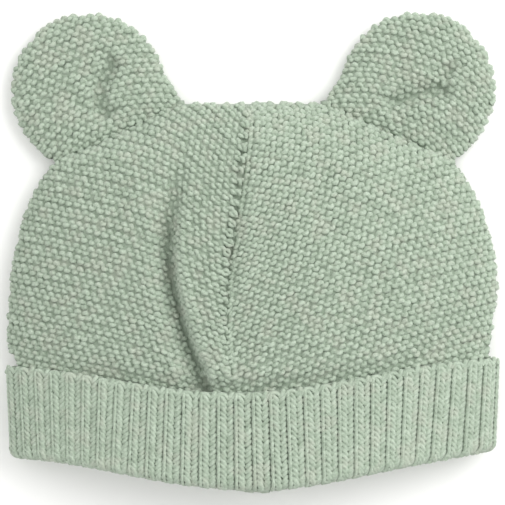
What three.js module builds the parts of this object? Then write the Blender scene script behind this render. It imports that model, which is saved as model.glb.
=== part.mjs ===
// A knitted baby hat with a folded ribbed cuff and two round ears, lying on its back with its front up.
// Millimetres. +Y runs from the cuff to the top of the crown, +X to the right of someone facing the front,
// +Z up out of the front. z = 0 is the surface that the hat lies on.
import * as THREE from "three";
import { mergeVertices } from "three/addons/utils/BufferGeometryUtils.js";

// Cuff: ribbed knitting folded up on itself, so two layers
const cuffWidth = 190;
const cuffHeight = 38;
const cuffLoft = 33; // height of its front above the surface, in the middle
const cuffSideHeight = 9; // height of its side folds above the surface
const cuffTaper = 1.5; // how much it draws in at its lower edge, on each side
const ribCount = 60;
const ribWall = 3.2;
const ribDepth = 1.2;
const ribScallop = 1; // how far the edges draw back between the ribs
const layerSlot = 0.5; // between the cuff's two layers, and between the cuff and the crown inside it
const tuckedEdge = 8; // how far the crown reaches down behind the cuff's upper edge
const emergeShare = 0.06; // share of crownHeight over which the crown comes out to its own outline
const bowMiddle = -8; // x where the cuff's bowed edges are lowest
const leftBow = 8.8; // how much higher the edges are at the left side
const rightBow = 12;
const lipDrop = 3.4; // how far the back's lower edge shows below the front's
const lipMiddle = 4;
const lipSpan = 26;

// Crown: one bag of garter stitch
const crownWidth = 190;
const crownHeight = 110.5;
const crownLoft = 33;
const crownSideHeight = 6;
const garterWall = 2.8;
const edgeShare = 0.28; // share of the front's rise that its rounded side edges take
const edgeRoundness = 12; // exponent of those edges: larger is a tighter fold
const domeRoundness = 1.2; // exponent of the low dome between them
const backRoundness = 5;
const backFlatness = 1.15; // how much fuller than its arch the back is, cut off flat by the surface
const foldDepth = 7.4;
const foldSpan = 9; // half the width that the front fold takes
const creaseDepth = 1.5;
const creaseSpan = 3.4;

// Ears: flat double pouches of garter stitch, sewn along the crown's shoulders
const earRadius = 30;
const earThickness = 9.5;
const earRise = 18.7; // from the shoulder seam to the middle of the ear's disc
const earShift = 2.9; // from the seam's middle to the disc's, outwards
const earRoundness = 5;
const flareTurn = 0.45; // turn in radians over which an ear's rim runs out to the inner end of its seam
const tuckWidth = 2.6;
const seamGap = 0.3;

// Outline of the crown. rise: share of crownHeight above the cuff. left, right: shares of half of crownWidth.
// loft: share of the front's full height above the side folds. back: the same for the back, down to the surface.
const crownSections = [
  { rise: 0, left: 0.97, right: 0.955, loft: 0.93, back: 1 },
  { rise: 0.06, left: 0.995, right: 0.973, loft: 0.96, back: 1 },
  { rise: 0.15, left: 1, right: 0.984, loft: 0.99, back: 1 },
  { rise: 0.28, left: 0.992, right: 1, loft: 1, back: 1 },
  { rise: 0.4, left: 0.976, right: 0.986, loft: 0.99, back: 1 },
  { rise: 0.52, left: 0.947, right: 0.955, loft: 0.965, back: 1 },
  { rise: 0.62, left: 0.912, right: 0.917, loft: 0.925, back: 1 },
  { rise: 0.7, left: 0.866, right: 0.87, loft: 0.87, back: 1 },
  { rise: 0.776, left: 0.8, right: 0.812, loft: 0.8, back: 1 },
  { rise: 0.84, left: 0.656, right: 0.666, loft: 0.71, back: 1 },
  { rise: 0.9, left: 0.521, right: 0.531, loft: 0.59, back: 0.95 },
  { rise: 0.945, left: 0.421, right: 0.43, loft: 0.46, back: 0.82 },
  { rise: 0.975, left: 0.355, right: 0.363, loft: 0.32, back: 0.6 },
  { rise: 0.993, left: 0.315, right: 0.323, loft: 0.17, back: 0.33 },
  { rise: 1, left: 0.3, right: 0.308, loft: 0, back: 0 },
];
const shoulderShare = 0.776;

// Where the front fold and the middle crease run. fold, crease: x as shares of half of crownWidth.
// foldShare, creaseShare: shares of foldDepth and creaseDepth.
const frontLines = [
  { rise: 0, fold: -0.187, foldShare: 0.62, crease: -0.07, creaseShare: 0 },
  { rise: 0.07, fold: -0.222, foldShare: 0.8, crease: -0.085, creaseShare: 0.2 },
  { rise: 0.14, fold: -0.262, foldShare: 0.88, crease: -0.1, creaseShare: 0.45 },
  { rise: 0.27, fold: -0.312, foldShare: 0.88, crease: -0.104, creaseShare: 0.8 },
  { rise: 0.37, fold: -0.34, foldShare: 0.9, crease: -0.1, creaseShare: 1 },
  { rise: 0.47, fold: -0.352, foldShare: 0.85, crease: -0.088, creaseShare: 1 },
  { rise: 0.56, fold: -0.348, foldShare: 0.66, crease: -0.073, creaseShare: 1 },
  { rise: 0.65, fold: -0.322, foldShare: 0.4, crease: -0.059, creaseShare: 1 },
  { rise: 0.75, fold: -0.283, foldShare: 0.14, crease: -0.044, creaseShare: 1 },
  { rise: 0.85, fold: -0.24, foldShare: 0, crease: -0.03, creaseShare: 0.9 },
  { rise: 0.92, fold: -0.2, foldShare: 0, crease: -0.02, creaseShare: 0.6 },
  { rise: 1, fold: -0.14, foldShare: 0, crease: -0.008, creaseShare: 0 },
];

// Section across the front fold, where the right side laps over the left. across: shares of foldSpan from the
// fold's line. lift: shares of foldDepth. outer is the face that shows, inner the face inside the hat.
const foldSection = [
  { outerAcross: -1, outerLift: 0, innerAcross: -1.15, innerLift: 0 },
  { outerAcross: -0.6, outerLift: -0.2, innerAcross: -0.75, innerLift: -0.25 },
  { outerAcross: -0.28, outerLift: -0.62, innerAcross: -0.45, innerLift: -0.7 },
  { outerAcross: -0.02, outerLift: -0.98, innerAcross: -0.15, innerLift: -1 },
  { outerAcross: 0.06, outerLift: -0.72, innerAcross: 0.15, innerLift: -1.02 },
  { outerAcross: -0.05, outerLift: -0.25, innerAcross: 0.38, innerLift: -0.75 },
  { outerAcross: 0.1, outerLift: 0.15, innerAcross: 0.5, innerLift: -0.3 },
  { outerAcross: 0.5, outerLift: 0.3, innerAcross: 0.75, innerLift: 0 },
  { outerAcross: 1, outerLift: 0.22, innerAcross: 1.1, innerLift: 0.05 },
];

// The cuff's own section, going round it once. offset: outwards from the line between its two layers.
// rib: share of ribDepth taken off between the ribs, or off their backs where it is negative.
const foldReach = ribWall + layerSlot / 2;
const crownEnd = -tuckedEdge - seamGap;
const cuffSection = [
  { from: "lower", height: foldReach * 0.8, offset: -foldReach, rib: -1 },
  { from: "upper", height: crownEnd, offset: -foldReach, rib: -1 },
  { from: "upper", height: crownEnd, offset: -layerSlot / 2, rib: 0 },
  { from: "lower", height: foldReach, offset: -layerSlot / 2, rib: 0 },
  { from: "lower", height: foldReach, offset: layerSlot / 2, rib: 0 },
  { from: "upper", height: -ribWall * 0.3, offset: layerSlot / 2, rib: 0 },
  { from: "upper", height: 0, offset: foldReach * 0.55, rib: 0.3 },
  { from: "upper", height: -ribWall * 0.5, offset: foldReach, rib: 1 },
  { from: "lower", height: foldReach, offset: foldReach, rib: 1 },
  { from: "lower", height: foldReach * 0.3, offset: foldReach * 0.72, rib: 1 },
  { from: "lower", height: 0, offset: 0, rib: 0.3 },
];

// Tucks that draw each ear in, as lines through points. along: towards the top of the head, away: from the seam,
// both as shares of earRadius from the disc's middle. depth: share of earThickness.
const earTucks = {
  left: [
    { depth: 0.5, line: [{ along: -0.02, away: -0.21 }, { along: 0.1, away: -0.1 }, { along: 0.29, away: 0.11 }] },
    { depth: 0.2, line: [{ along: -0.02, away: -0.21 }, { along: -0.22, away: -0.03 }] },
  ],
  right: [
    { depth: 0.5, line: [{ along: 0.11, away: -0.25 }, { along: -0.11, away: 0.04 }, { along: -0.14, away: 0.43 }] },
  ],
};
const earRings = [1, 0.97, 0.88, 0.74, 0.58, 0.42, 0.27, 0.13, 0]; // shares of the way from its middle to its edge
const discSideCount = 28;
const seamSideCount = 8;

// How much less deep than cuffHeight the cuff is. at: x as a share of half of crownWidth.
const cuffLowerEdge = [
  { at: -1, less: 2.6 },
  { at: -0.6, less: 2.8 },
  { at: -0.2, less: 1.4 },
  { at: 0.1, less: 0 },
  { at: 0.7, less: 0 },
  { at: 1, less: 2 },
];

const half = crownWidth / 2;
const mix = THREE.MathUtils.lerp;
const smooth = THREE.MathUtils.smoothstep;

// Value of one column of a table at a place in its first column, on straight lines between its rows.
function column(table, name, place) {
  const [first] = Object.keys(table[0]);
  const next = table.findIndex((row) => row[first] >= place);
  if (next < 0) return table[table.length - 1][name];
  if (next === 0) return table[0][name];
  const [low, high] = [table[next - 1], table[next]];
  return mix(low[name], high[name], (place - low[first]) / (high[first] - low[first]));
}

// How much higher than its lowest point a bowed edge of the cuff is at x.
function bow(x) {
  const side = x < bowMiddle ? -half : half;
  const share = Math.min(1, Math.abs((x - bowMiddle) / (side - bowMiddle)));
  return (0.5 - 0.5 * Math.cos(share * Math.PI)) * (x < bowMiddle ? leftBow : rightBow);
}

// Height of an arch of height 1 at a reach of 0 in its middle to 1 at its sides.
const arch = (reach, roundness) => Math.sqrt(1 - Math.min(1, Math.abs(reach)) ** roundness);
const frontArch = (reach) =>
  edgeShare * arch(reach, edgeRoundness) + (1 - edgeShare) * arch(reach, 2) ** (2 * domeRoundness);
const backArch = (reach) => Math.min(1, backFlatness * arch(reach, backRoundness));

// One closed surface from rows of points, each row a closed loop that runs clockwise seen from the next row.
// Rows at the ends must close on themselves, unless joinEnds joins the last row to the first.
function surfaceFromRows(rows, joinEnds) {
  const count = rows[0].length;
  const faces = [];
  const strips = joinEnds ? rows.length : rows.length - 1;
  for (let row = 0; row < strips; row++) {
    const [here, above] = [row * count, ((row + 1) % rows.length) * count];
    for (let i = 0; i < count; i++) {
      const next = (i + 1) % count;
      faces.push([here + i, here + next, above + next], [here + i, above + next, above + i]);
    }
  }
  const loose = new THREE.BufferGeometry();
  loose.setAttribute("position", new THREE.Float32BufferAttribute(rows.flat(2), 3));
  loose.setIndex(faces.flat());
  const merged = mergeVertices(loose, 0.002);
  const corners = Array.from(merged.index.array);
  const kept = faces
    .map((_, i) => corners.slice(3 * i, 3 * i + 3))
    .filter(([a, b, c]) => a !== b && b !== c && a !== c);
  merged.setIndex(kept.flat());
  merged.computeVertexNormals();
  return merged;
}

// The line between the cuff's two layers, seen along Y, grown by offset. turn: 0 at the right side fold, a half
// turn over the front to the left one, and the rest under the back.
const seatHalf = cuffWidth / 2 - foldReach;
const seatFront = cuffLoft - foldReach;

function seatPoint(turn, offset) {
  const isFront = Math.sin(turn) >= 0;
  const across = Math.cos(turn);
  const up = isFront ? seatFront - cuffSideHeight + offset : 0;
  const down = isFront ? 0 : cuffSideHeight - foldReach + offset;
  const z = cuffSideHeight + up * frontArch(across) - down * backArch(across);
  return { x: across * (seatHalf + offset), z };
}

// Turns at which count points lie evenly along the seat line.
function evenTurns(count) {
  const fine = count * 20;
  const points = Array.from({ length: fine + 1 }, (_, i) => seatPoint((i / fine) * 2 * Math.PI, 0));
  const lengths = [0];
  for (let i = 1; i <= fine; i++) {
    lengths.push(lengths[i - 1] + Math.hypot(points[i].x - points[i - 1].x, points[i].z - points[i - 1].z));
  }
  return Array.from({ length: count }, (_, i) => {
    const wanted = (i / count) * lengths[fine];
    const after = Math.max(1, lengths.findIndex((length) => length >= wanted));
    const within = (wanted - lengths[after - 1]) / (lengths[after] - lengths[after - 1]);
    return ((after - 1 + within) / fine) * 2 * Math.PI;
  });
}

function makeCuff() {
  const sidesPerRib = 4;
  const turns = evenTurns(ribCount * sidesPerRib);
  const rows = cuffSection.map((step) =>
    turns.map((turn, i) => {
      const valley = 0.5 - 0.5 * Math.cos((i / sidesPerRib) * 2 * Math.PI);
      const cut = ribDepth * (step.rib >= 0 ? step.rib * valley : step.rib * (1 - valley));
      const { x, z } = seatPoint(turn, step.offset - cut);
      const lip = Math.sin(turn) < 0 ? lipDrop * smooth(1 - Math.abs(x - lipMiddle) / lipSpan, 0, 1) : 0;
      const isLower = step.from === "lower";
      const isTip = step.rib === 0.3;
      const scallop = isTip ? ribScallop * valley : 0;
      const lower = scallop - cuffHeight - lip + column(cuffLowerEdge, "less", x / half);
      const y = isLower ? lower : -scallop;
      const narrowing = isLower ? 1 - (cuffTaper / seatHalf) * (1 - step.height / cuffHeight) : 1;
      return [x * narrowing, y + bow(x) + step.height, z];
    }),
  );
  return surfaceFromRows(rows, true);
}

// Stations across the crown's front: x on its plain arch, and how far the fold and the crease move it from there.
function frontStations({ left, right, share, face }) {
  const at = (name) => column(frontLines, name, Math.max(0, share));
  const tucked = share < 0 ? 1 + (share * crownHeight) / tuckedEdge : 1;
  const narrowing = -left / half;
  const depth = foldDepth * at("foldShare") * tucked;
  const [first, last] = [foldSection[0], foldSection[foldSection.length - 1]];
  const shown = smooth(share, 0, emergeShare);
  const foldX = at("fold") * half;
  const creaseX = at("crease") * half;
  const foldFrom = foldX + first[face + "Across"] * foldSpan * narrowing;
  const foldTo = foldX + last[face + "Across"] * foldSpan * narrowing;
  const creaseTo = creaseX + creaseSpan * narrowing;
  const panel = (from, to, count, ease) =>
    Array.from({ length: count }, (_, i) => ({ x: mix(from, to, ease((i + 1) / (count + 1))), shift: 0, lift: 0 }));
  const easeIn = (t) => 1 - Math.cos((t * Math.PI) / 2);
  const easeOut = (t) => Math.sin((t * Math.PI) / 2);
  const fold = foldSection.map((row, i) => {
    const x = mix(foldFrom, foldTo, i / (foldSection.length - 1));
    const lift = row[face + "Lift"];
    const bentX = foldX + row[face + "Across"] * foldSpan * narrowing;
    return { x, shift: (bentX - x) * at("foldShare") * tucked, lift: lift * depth * (lift > 0 ? shown : 1) };
  });
  return [
    { x: left, shift: 0, lift: 0 },
    ...panel(left, foldFrom, 7, easeIn),
    ...fold,
    { x: mix(foldTo, creaseX, 0.6), shift: 0, lift: fold[fold.length - 1].lift * 0.7 },
    { x: creaseX, shift: 0, lift: -creaseDepth * at("creaseShare") },
    { x: creaseTo, shift: 0, lift: 0 },
    ...panel(creaseTo, right, 10, easeOut),
    { x: right, shift: 0, lift: 0 },
  ];
}

// Height of the crown's edge line at x and a rise: bowed like the cuff at its lower end, straight at its top.
const crownY = (x, rise) => crownHeight * rise + (1 - Math.max(0, rise)) * bow(x);

// One loop round the crown, over the front from left to right and back under it. inset: 0 on the outer face.
function crownLoop(share, inset) {
  const shown = smooth(share, 0, emergeShare);
  const rise = share > 0 ? share * (1 - inset / crownHeight) : share;
  const outline = (side) => {
    const width = column(crownSections, side, Math.max(0, share) + inset / crownHeight) * half;
    return mix(seatHalf - layerSlot / 2, width, shown) - inset;
  };
  const loft = column(crownSections, "loft", share);
  const side = mix(cuffSideHeight, crownSideHeight, shown);
  const top = mix(seatFront - layerSlot / 2, mix(crownSideHeight, crownLoft, loft), shown) - inset * Math.sqrt(loft);
  const bottom = mix(foldReach + layerSlot / 2, 0, shown) + inset;
  const under = Math.max(0, side - bottom) * column(crownSections, "back", share);
  const [left, right] = [-outline("left"), outline("right")];
  const reach = (x) => (x < 0 ? x / left : x / right);
  const stations = frontStations({ left, right, share, face: inset > 0 ? "inner" : "outer" });
  const isClosed = share === 1;
  const over = stations.map(({ x, shift, lift }) => {
    const z = isClosed ? side : side + Math.max(0, top - side) * frontArch(reach(x)) + lift;
    return [x + (isClosed ? 0 : shift), crownY(x, rise), z];
  });
  const back = stations.slice(1, -1).map(({ x }) => [x, crownY(x, rise), side - under * backArch(reach(x))]);
  return [...over, ...back.reverse()];
}

function makeCrown() {
  const tuckedRise = -tuckedEdge / crownHeight;
  const shares = [tuckedRise, tuckedRise / 2, ...crownSections.map((row) => row.rise)];
  const outer = shares.map((share) => crownLoop(share, 0));
  const inner = shares.map((share) => crownLoop(share, garterWall));
  return surfaceFromRows([...inner.reverse(), ...outer], false);
}

// How much a tuck draws the ear in at a point of its disc, from 0 to its depth.
function tuckAt(tuck, along, away) {
  const point = new THREE.Vector3(along, away, 0);
  const corners = tuck.line.map((spot) => new THREE.Vector3(spot.along, spot.away, 0).multiplyScalar(earRadius));
  const distances = corners.slice(1).map((corner, i) => {
    const piece = new THREE.Line3(corners[i], corner);
    return piece.closestPointToPoint(point, true, new THREE.Vector3()).distanceTo(point);
  });
  return tuck.depth * Math.exp(-((Math.min(...distances) / tuckWidth) ** 2));
}

// An ear: a disc cut off by its shoulder's seam, running out into the seam's end at the top of the head.
function makeEar(side) {
  const outward = side === "left" ? -1 : 1;
  const seamEnd = (rise) => {
    const x = outward * column(crownSections, side, rise) * half;
    return new THREE.Vector2(x, crownY(x, rise));
  };
  const [outer, inner] = [seamEnd(shoulderShare), seamEnd(1)];
  const length = outer.distanceTo(inner);
  const along = inner.clone().sub(outer).normalize();
  const away = new THREE.Vector2(along.y, -along.x).multiplyScalar(outward);
  const middle = outer.clone().addScaledVector(along, length / 2 - earShift).addScaledVector(away, earRise);
  const toSeam = earRise - seamGap;
  const toInner = length / 2 + earShift;
  const innerTurn = Math.atan2(toInner, -toSeam);
  const outerTurn = Math.atan2(-Math.sqrt(earRadius ** 2 - toSeam ** 2), -toSeam);
  const flare = Math.hypot(toInner, toSeam) - earRadius;

  const edge = [
    ...Array.from({ length: discSideCount }, (_, i) => {
      const turn = mix(outerTurn, innerTurn, i / discSideCount);
      return { turn, reach: earRadius + flare * smooth(turn, innerTurn - flareTurn, innerTurn) };
    }),
    ...Array.from({ length: seamSideCount }, (_, i) => {
      const turn = mix(innerTurn, outerTurn + 2 * Math.PI, i / seamSideCount);
      return { turn, reach: -toSeam / Math.cos(turn) };
    }),
  ];
  const ring = (share, isFront) =>
    edge.map(({ turn, reach }) => {
      const [u, v] = [share * reach * Math.sin(turn), share * reach * Math.cos(turn)];
      const swell = Math.sqrt(1 - share ** earRoundness) / 2;
      const drawn = Math.max(...earTucks[side].map((tuck) => tuckAt(tuck, u, v)));
      const z = earThickness * (isFront ? 0.5 + swell * (1 - 2 * drawn) : 0.5 - swell);
      const spot = middle.clone().addScaledVector(along, u).addScaledVector(away, v);
      return [spot.x, spot.y, z];
    });
  const backRows = [...earRings].reverse().map((share) => ring(share, false));
  const rows = [...backRows, ...earRings.slice(1).map((share) => ring(share, true))];
  return surfaceFromRows(outward > 0 ? rows : rows.map((row) => row.reverse()), false);
}

const hat = new THREE.Group();

function addPiece(name, geometry) {
  const yarn = new THREE.MeshStandardMaterial({ color: "#b2c0ad", roughness: 0.95, metalness: 0 });
  const piece = new THREE.Mesh(geometry, yarn);
  piece.name = name;
  hat.add(piece);
}

addPiece("crown", makeCrown());
addPiece("cuff", makeCuff());
addPiece("ear_left", makeEar("left"));
addPiece("ear_right", makeEar("right"));

// Centres the hat over the origin, lying on z = 0.
const box = new THREE.Box3().setFromObject(hat);
hat.position.set(-(box.min.x + box.max.x) / 2, -(box.min.y + box.max.y) / 2, -box.min.z);

export default hat;
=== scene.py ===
import math
import bpy
import numpy as np
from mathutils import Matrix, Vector


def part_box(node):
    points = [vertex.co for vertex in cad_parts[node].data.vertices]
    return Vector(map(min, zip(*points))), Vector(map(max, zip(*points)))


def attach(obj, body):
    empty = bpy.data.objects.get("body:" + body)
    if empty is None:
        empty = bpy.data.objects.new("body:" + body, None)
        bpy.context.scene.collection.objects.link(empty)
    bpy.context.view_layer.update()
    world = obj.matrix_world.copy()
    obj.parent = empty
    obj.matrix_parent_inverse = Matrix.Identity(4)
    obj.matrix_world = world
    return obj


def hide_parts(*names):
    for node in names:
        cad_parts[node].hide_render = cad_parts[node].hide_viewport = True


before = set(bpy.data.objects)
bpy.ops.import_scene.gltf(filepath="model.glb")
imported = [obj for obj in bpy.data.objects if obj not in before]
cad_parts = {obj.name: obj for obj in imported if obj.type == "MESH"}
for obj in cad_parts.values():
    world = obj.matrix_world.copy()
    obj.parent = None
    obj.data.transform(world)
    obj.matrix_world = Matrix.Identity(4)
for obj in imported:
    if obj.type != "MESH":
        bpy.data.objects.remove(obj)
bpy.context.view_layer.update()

mm = 0.001
crownLow, crownHigh = [Vector(corner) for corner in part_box("crown")]
cuffHigh = Vector(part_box("cuff")[1])
print("frame loaded")


# shared helpers

def mix(a, b, t):
    return a + (b - a) * t


def smooth(t):
    t = np.clip(t, 0.0, 1.0)
    return t * t * (3 - 2 * t)


def unit(vectors):
    return vectors / np.maximum(np.linalg.norm(vectors, axis=-1, keepdims=True), 1e-9)


def curveThrough(table, key, name):
    # smooth curve through one column of a table, without overshoot between its rows
    xs = np.array([row[key] for row in table], float)
    ys = np.array([row[name] for row in table], float)
    steps = np.diff(xs)
    rates = np.diff(ys) / steps
    slopes = np.empty_like(ys)
    slopes[0], slopes[-1] = rates[0], rates[-1]
    product = rates[:-1] * rates[1:]
    total = np.where(np.abs(rates[:-1] + rates[1:]) < 1e-12, 1.0, rates[:-1] + rates[1:])
    slopes[1:-1] = np.where(product > 0, 2 * product / total, 0.0)

    def value(x):
        x = np.clip(x, xs[0], xs[-1])
        i = np.clip(np.searchsorted(xs, x, side="right") - 1, 0, len(xs) - 2)
        t = (x - xs[i]) / steps[i]
        near = (1 + 2 * t) * (1 - t) ** 2 * ys[i] + t * (1 - t) ** 2 * steps[i] * slopes[i]
        return near + t * t * (3 - 2 * t) * ys[i + 1] - t * t * (1 - t) * steps[i] * slopes[i + 1]

    return value


# shape of the hat: the same named sizes as the solids, in metres

hat = {
    "half": (crownHigh.x - crownLow.x) / 2,
    "top": crownHigh.y,
    "height": 110.5 * mm,
    "loft": cuffHigh.z,
    "sideHeight": 6 * mm,
    "wall": 2.8 * mm,
    "edgeShare": 0.28,
    "edgeRoundness": 12,
    "domeRoundness": 1.2,
    "backRoundness": 5,
    "backFlatness": 1.15,
    "foldDepth": 7.4 * mm,
    "foldSpan": 9 * mm,
    "creaseDepth": 2.3 * mm,
    "creaseSpan": 3.4 * mm,
    "leftBank": 0.02,  # the crease's left side is a step, as a share of the span
    "rightBank": 1.15,
    "edgeFade": 3,  # how soon the fold and crease die out at the sides of the crown
    "tuckedEdge": 8 * mm,
    "emergeShare": 0.06,
    "bowMiddle": -8 * mm,
    "leftBow": 8.8 * mm,
    "rightBow": 12 * mm,
}
hat["cuffTop"] = hat["top"] - hat["height"]

crownSections = [
    {"rise": 0, "left": 0.97, "right": 0.955, "loft": 0.93, "back": 1},
    {"rise": 0.06, "left": 0.995, "right": 0.973, "loft": 0.96, "back": 1},
    {"rise": 0.15, "left": 1, "right": 0.984, "loft": 0.99, "back": 1},
    {"rise": 0.28, "left": 0.992, "right": 1, "loft": 1, "back": 1},
    {"rise": 0.4, "left": 0.976, "right": 0.986, "loft": 0.99, "back": 1},
    {"rise": 0.52, "left": 0.947, "right": 0.955, "loft": 0.965, "back": 1},
    {"rise": 0.62, "left": 0.912, "right": 0.917, "loft": 0.925, "back": 1},
    {"rise": 0.7, "left": 0.866, "right": 0.87, "loft": 0.87, "back": 1},
    {"rise": 0.776, "left": 0.8, "right": 0.812, "loft": 0.8, "back": 1},
    {"rise": 0.84, "left": 0.656, "right": 0.666, "loft": 0.71, "back": 1},
    {"rise": 0.9, "left": 0.521, "right": 0.531, "loft": 0.59, "back": 0.95},
    {"rise": 0.945, "left": 0.421, "right": 0.43, "loft": 0.46, "back": 0.82},
    {"rise": 0.975, "left": 0.355, "right": 0.363, "loft": 0.32, "back": 0.6},
    {"rise": 0.993, "left": 0.315, "right": 0.323, "loft": 0.17, "back": 0.33},
    {"rise": 1, "left": 0.3, "right": 0.308, "loft": 0, "back": 0},
]
shoulderShare = 0.776
frontLines = [
    {"rise": 0, "fold": -0.176, "foldShare": 0.62, "crease": -0.07, "creaseShare": 0},
    {"rise": 0.07, "fold": -0.206, "foldShare": 0.8, "crease": -0.085, "creaseShare": 0},
    {"rise": 0.14, "fold": -0.243, "foldShare": 0.88, "crease": -0.1, "creaseShare": 0.1},
    {"rise": 0.27, "fold": -0.289, "foldShare": 0.88, "crease": -0.104, "creaseShare": 0.45},
    {"rise": 0.37, "fold": -0.315, "foldShare": 0.9, "crease": -0.1, "creaseShare": 0.8},
    {"rise": 0.47, "fold": -0.326, "foldShare": 0.85, "crease": -0.088, "creaseShare": 1},
    {"rise": 0.56, "fold": -0.323, "foldShare": 0.66, "crease": -0.073, "creaseShare": 1},
    {"rise": 0.65, "fold": -0.304, "foldShare": 0.4, "crease": -0.059, "creaseShare": 1},
    {"rise": 0.75, "fold": -0.283, "foldShare": 0.14, "crease": -0.044, "creaseShare": 1},
    {"rise": 0.85, "fold": -0.24, "foldShare": 0, "crease": -0.03, "creaseShare": 0.9},
    {"rise": 0.92, "fold": -0.2, "foldShare": 0, "crease": -0.02, "creaseShare": 0.6},
    {"rise": 1, "fold": -0.14, "foldShare": 0, "crease": -0.008, "creaseShare": 0},
]
foldSection = [
    {"at": -1, "across": -1, "lift": 0},
    {"at": -0.75, "across": -0.6, "lift": -0.2},
    {"at": -0.5, "across": -0.28, "lift": -0.62},
    {"at": -0.25, "across": -0.02, "lift": -0.98},
    {"at": 0, "across": 0.1, "lift": -0.76},
    {"at": 0.25, "across": 0.15, "lift": -0.3},
    {"at": 0.5, "across": 0.28, "lift": 0.12},
    {"at": 0.75, "across": 0.58, "lift": 0.28},
    {"at": 1, "across": 1, "lift": 0.22},
]
leftShare = curveThrough(crownSections, "rise", "left")
rightShare = curveThrough(crownSections, "rise", "right")
loftShare = curveThrough(crownSections, "rise", "loft")
backShare = curveThrough(crownSections, "rise", "back")
foldAt = curveThrough(frontLines, "rise", "fold")
foldShare = curveThrough(frontLines, "rise", "foldShare")
creaseAt = curveThrough(frontLines, "rise", "crease")
creaseShare = curveThrough(frontLines, "rise", "creaseShare")
foldAcross = curveThrough(foldSection, "at", "across")
foldLift = curveThrough(foldSection, "at", "lift")

cuff = {
    "height": 38 * mm,
    "sideHeight": 9 * mm,
    "ribCount": 60,
    "ribWall": 3.2 * mm,
    "slot": 0.5 * mm,
    "taper": 1.5 * mm,
    "lipDrop": 3.4 * mm,
    "lipMiddle": 4 * mm,
    "lipSpan": 26 * mm,
    "coursePitch": 2.0 * mm,
    "headSpan": 1.6 * mm,  # the upper edge rounds over this far, inwards by a share of the fold's reach
    "headShare": 0.4,
}
cuff["foldReach"] = cuff["ribWall"] + cuff["slot"] / 2
cuff["seatHalf"] = cuffHigh.x - cuff["foldReach"]


def bow(x):
    side = np.where(x < hat["bowMiddle"], -hat["half"], hat["half"])
    share = np.clip(np.abs((x - hat["bowMiddle"]) / (side - hat["bowMiddle"])), 0, 1)
    height = np.where(x < hat["bowMiddle"], hat["leftBow"], hat["rightBow"])
    return (0.5 - 0.5 * np.cos(share * math.pi)) * height


def arch(reach, roundness):
    return np.sqrt(np.maximum(0, 1 - np.clip(np.abs(reach), 0, 1) ** roundness))


def frontArch(reach):
    dome = arch(reach, 2) ** (2 * hat["domeRoundness"])
    return hat["edgeShare"] * arch(reach, hat["edgeRoundness"]) + (1 - hat["edgeShare"]) * dome


def backArch(reach):
    return np.minimum(1, hat["backFlatness"] * arch(reach, hat["backRoundness"]))


def riseAt(x, y):
    edge = bow(x)
    return (y - hat["cuffTop"] - edge) / (hat["height"] - edge)


def heightAt(x, rise):
    return hat["cuffTop"] + hat["height"] * rise + (1 - np.maximum(0, rise)) * bow(x)


def crownEdges(rise):
    shown = smooth(rise / hat["emergeShare"])
    hidden = cuff["seatHalf"] - cuff["slot"] / 2
    rise = np.clip(rise, 0, 1)
    left = mix(hidden, leftShare(rise) * hat["half"], shown)
    right = mix(hidden, rightShare(rise) * hat["half"], shown)
    return left, right


def crownReach(x, y):
    left, right = crownEdges(riseAt(x, y))
    return np.where(x < 0, -x / left, x / right)


def crownFront(x, y, leftBank=hat["leftBank"]):
    # the front's outer face, with the fold that laps to the left and the middle crease
    rise = riseAt(x, y)
    inside = np.clip(rise, 0, 1)
    shown = smooth(rise / hat["emergeShare"])
    reach = np.clip(crownReach(x, y), 0, 1)
    left, _ = crownEdges(rise)
    side = mix(cuff["sideHeight"], hat["sideHeight"], shown)
    hiddenTop = hat["loft"] - cuff["foldReach"] - cuff["slot"] / 2
    top = mix(hiddenTop, mix(hat["sideHeight"], hat["loft"], loftShare(inside)), shown)
    z = side + np.maximum(0, top - side) * frontArch(reach)
    tucked = np.clip(1 + rise * hat["height"] / hat["tuckedEdge"], 0, 1)
    kept = foldShare(inside) * tucked
    span = hat["foldSpan"] * left / hat["half"]
    foldX = foldAt(inside) * hat["half"]
    creaseX = creaseAt(inside) * hat["half"]
    at = (x - foldX) / span
    within = np.clip(at, -1, 1)
    lift = foldLift(within)
    lift = np.where(lift > 0, lift * shown, lift)
    flank = np.clip((x - foldX - span) / np.maximum(creaseX - foldX - span, 1e-4), 0, 1)
    lift = lift * np.where(at > 1, 1 - flank ** 2, 1.0) * hat["foldDepth"] * kept
    shift = np.where(np.abs(at) < 1, (foldAcross(within) - within) * span, 0.0) * kept
    beside = (x - creaseX) / (np.where(x < creaseX, leftBank, hat["rightBank"]) * hat["creaseSpan"])
    dip = hat["creaseDepth"] * creaseShare(inside) * np.exp(-beside ** 2)
    fade = np.minimum(1, frontArch(reach) * hat["edgeFade"])
    return np.stack([x + shift, y, z + (lift - dip) * fade], axis=-1)


def crownBack(x, y):
    rise = riseAt(x, y)
    shown = smooth(rise / hat["emergeShare"])
    reach = np.clip(crownReach(x, y), 0, 1)
    side = mix(cuff["sideHeight"], hat["sideHeight"], shown)
    bottom = mix(cuff["foldReach"] + cuff["slot"] / 2, 0.0, shown)
    under = np.maximum(0, side - bottom) * backShare(np.clip(rise, 0, 1))
    return np.stack([x, y, side - under * backArch(reach)], axis=-1)


# yarn

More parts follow.
